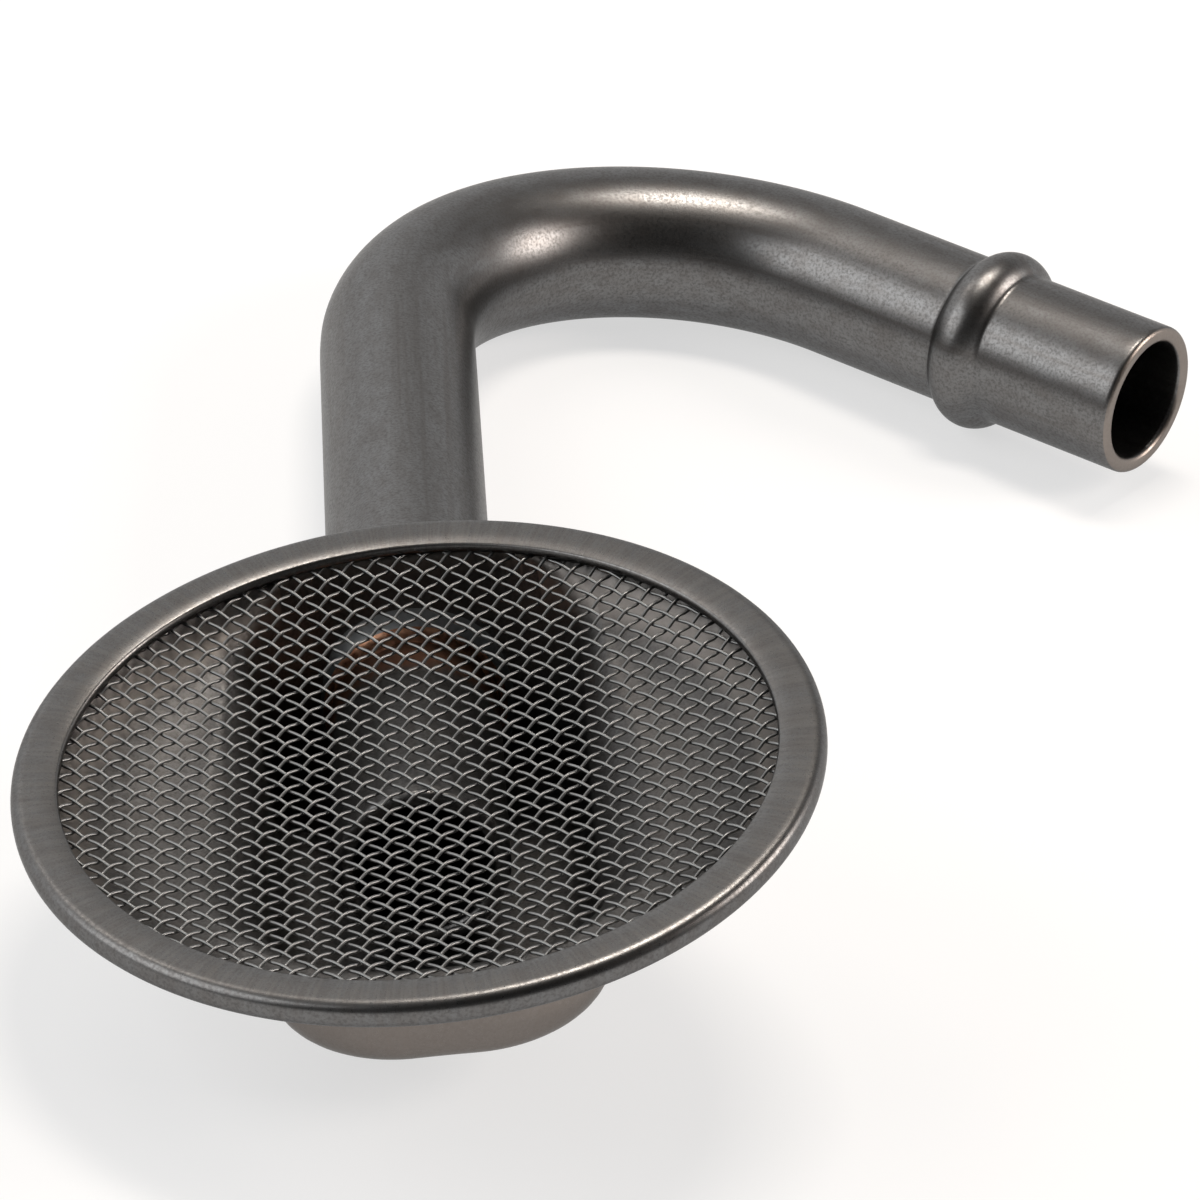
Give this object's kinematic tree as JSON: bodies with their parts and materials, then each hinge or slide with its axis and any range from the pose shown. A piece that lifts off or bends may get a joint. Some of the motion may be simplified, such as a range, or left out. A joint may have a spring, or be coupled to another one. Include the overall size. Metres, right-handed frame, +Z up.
{
  "type": "oil pickup tube",
  "caption": "Bent steel suction tube with a stop bead at its plain pump end, brazed into a stamped round bowl whose hemmed rim holds a woven wire inlet screen.",
  "frame": {"origin": "on the axis of the pump end, at the middle of the plain length that seats in the pump", "axes": "+Z up from the table on which the part lies, screen up; +Y along the long leg from the bowl to the bend; +X to the side of the pump end"},
  "size_m": [0.1198, 0.1839, 0.034],
  "materials": {
    "tube_steel": "dark satin steel tube, used",
    "bowl_steel": "dark satin stamped sheet steel",
    "screen_wire": "drawn steel wire, plain weave",
    "braze": "copper braze, dull"
  },
  "bodies": {
    "root": {"pickup_tube": "tube_steel", "bowl": "bowl_steel", "screen": "screen_wire", "braze_fillet": "braze"}
  },
  "joints": []
}
